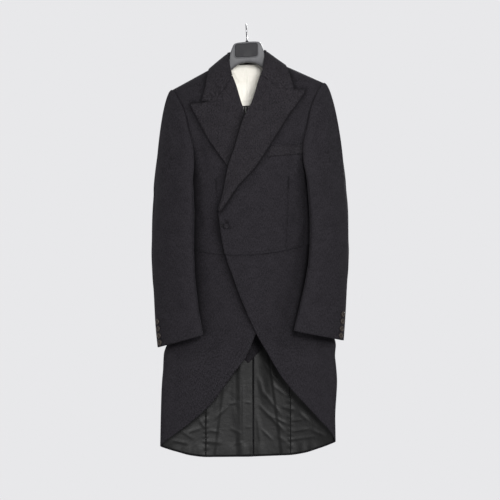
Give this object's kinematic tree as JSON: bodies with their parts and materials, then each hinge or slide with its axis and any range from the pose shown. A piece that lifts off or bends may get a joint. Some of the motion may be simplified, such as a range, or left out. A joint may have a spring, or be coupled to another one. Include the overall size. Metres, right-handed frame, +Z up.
{
  "type": "morning coat on a hanger",
  "caption": "Dark wool morning coat with peaked lapels, cutaway fronts lapped at the waist and long vented tails, hanging on a moulded hanger with a wire hook.",
  "frame": {"origin": "underside of the hook at the top of its turn, where a rail carries it", "axes": "+Z up, -Y towards the front of the coat, +X towards the wearer's left"},
  "size_m": [0.5136, 0.1868, 1.133],
  "materials": {
    "wool": "fine matte worsted",
    "satin": "black lining satin",
    "cream_satin": "cream lining satin",
    "horn": "polished dark horn",
    "hanger_plastic": "satin moulded grey",
    "plate_plastic": "smooth dark grey, blank",
    "steel": "bright drawn wire"
  },
  "bodies": {
    "root": {"forepart_left": "wool", "forepart_right": "wool", "side_body_left": "wool", "side_body_right": "wool", "back_left": "wool", "back_right": "wool", "skirt_left": "wool", "skirt_right": "wool", "lapel_left": "wool", "lapel_right": "wool", "top_sleeve_left": "wool", "top_sleeve_right": "wool", "under_sleeve_left": "wool", "under_sleeve_right": "wool", "collar": "wool", "collar_stand": "wool", "vent_stay": "wool", "breast_welt": "wool", "tail_lining_left": "satin", "tail_lining_right": "satin", "skirt_lining_left": "satin", "skirt_lining_right": "satin", "back_lining": "satin", "yoke_lining": "cream_satin", "front_button": "wool", "waist_button_left": "wool", "waist_button_right": "wool", "cuff_button_left_1": "horn", "cuff_button_left_2": "horn", "cuff_button_left_3": "horn", "cuff_button_left_4": "horn", "cuff_button_right_1": "horn", "cuff_button_right_2": "horn", "cuff_button_right_3": "horn", "cuff_button_right_4": "horn", "hanger_body": "hanger_plastic", "hanger_plate": "plate_plastic", "hook_ferrule": "steel", "hook": "steel"}
  },
  "joints": []
}
